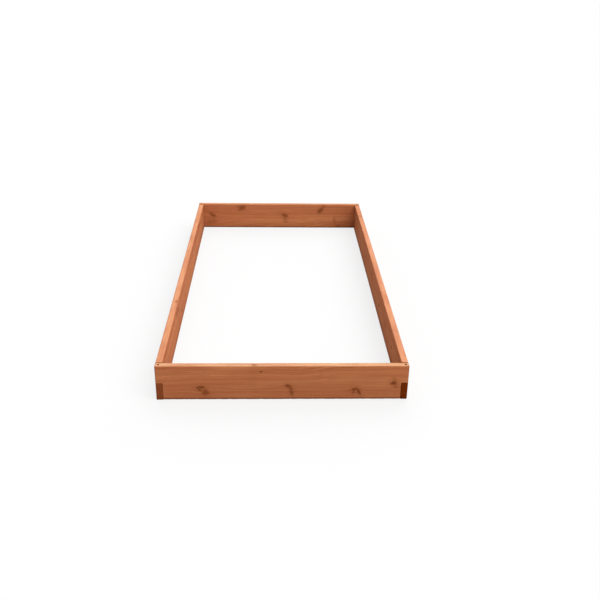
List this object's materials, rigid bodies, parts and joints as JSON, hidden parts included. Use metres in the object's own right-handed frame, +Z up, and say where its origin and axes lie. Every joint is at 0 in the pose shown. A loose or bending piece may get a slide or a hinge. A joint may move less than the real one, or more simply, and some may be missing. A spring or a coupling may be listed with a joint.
{
  "type": "raised garden bed",
  "caption": "Raised garden bed frame of stained softwood boards on edge, open above and below, with half-lapped corners locked by lift-out steel pins.",
  "frame": {"origin": "middle of the bed on the ground that the side boards stand on", "axes": "+Z up, +Y from the front board to the back board along the bed's length, +X to the right across its width"},
  "size_m": [0.9144, 1.8288, 0.1411],
  "materials": {
    "stained_board": "satin penetrating stain",
    "steel_rod": "blackened drawn rod"
  },
  "bodies": {
    "frame": {"front_board": "stained_board", "back_board": "stained_board", "left_board": "stained_board", "right_board": "stained_board"},
    "front_left_pin": {"front_left_pin": "steel_rod"},
    "front_right_pin": {"front_right_pin": "steel_rod"},
    "back_left_pin": {"back_left_pin": "steel_rod"},
    "back_right_pin": {"back_right_pin": "steel_rod"}
  },
  "joints": [
    {"name": "front_left_pin_lift", "type": "slide", "parent": "frame", "child": "front_left_pin", "axis": [0, 0, 1], "range_m": [0, 0.13]},
    {"name": "front_right_pin_lift", "type": "slide", "parent": "frame", "child": "front_right_pin", "axis": [0, 0, 1], "range_m": [0, 0.13]},
    {"name": "back_left_pin_lift", "type": "slide", "parent": "frame", "child": "back_left_pin", "axis": [0, 0, 1], "range_m": [0, 0.13]},
    {"name": "back_right_pin_lift", "type": "slide", "parent": "frame", "child": "back_right_pin", "axis": [0, 0, 1], "range_m": [0, 0.13]}
  ]
}
